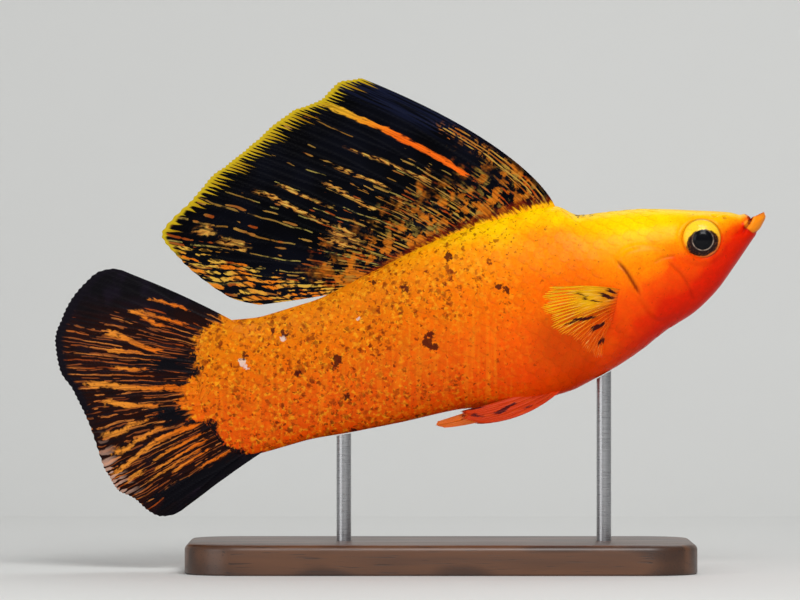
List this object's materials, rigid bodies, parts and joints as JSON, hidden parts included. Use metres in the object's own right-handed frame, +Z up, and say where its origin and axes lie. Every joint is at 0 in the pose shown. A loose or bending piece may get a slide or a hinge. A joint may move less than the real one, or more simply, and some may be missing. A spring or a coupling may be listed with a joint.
{
  "type": "sailfin molly model",
  "caption": "Life-size still model of a male sailfin molly swimming nose-up with its sail-like dorsal fin raised, held by rods on a plain wooden base",
  "frame": {"origin": "centre of the stand base's underside, on the fish's midline plane", "axes": "+X toward the snout, level; +Y toward the fish's left side; +Z up"},
  "size_m": [0.1068, 0.04, 0.0739],
  "materials": {
    "head_skin": "moist red-orange skin, yellow over the top of the head",
    "body_skin": "moist orange scaled skin, yellow at the nape, brown dots on the tail stalk",
    "fin_dark": "black ribbed membrane with orange and tan streaks",
    "fin_amber": "amber ribbed membrane, part clear",
    "eye": "clear-domed dark eye with a gold and silver iris",
    "stand_wood": "dark oiled walnut",
    "stand_steel": "brushed stainless rod"
  },
  "bodies": {
    "root": {"head": "head_skin", "jaw_lower": "head_skin", "gill_cover_left": "head_skin", "gill_cover_right": "head_skin", "trunk": "body_skin", "tail_stalk": "body_skin", "dorsal_fin": "fin_dark", "caudal_fin": "fin_dark", "pectoral_fin_left": "fin_amber", "pectoral_fin_right": "fin_amber", "pelvic_fin_left": "fin_amber", "pelvic_fin_right": "fin_amber", "gonopodium": "fin_amber", "eye_left": "eye", "eye_right": "eye", "stand_base": "stand_wood", "stand_rod_front": "stand_steel", "stand_rod_rear": "stand_steel"}
  },
  "joints": []
}
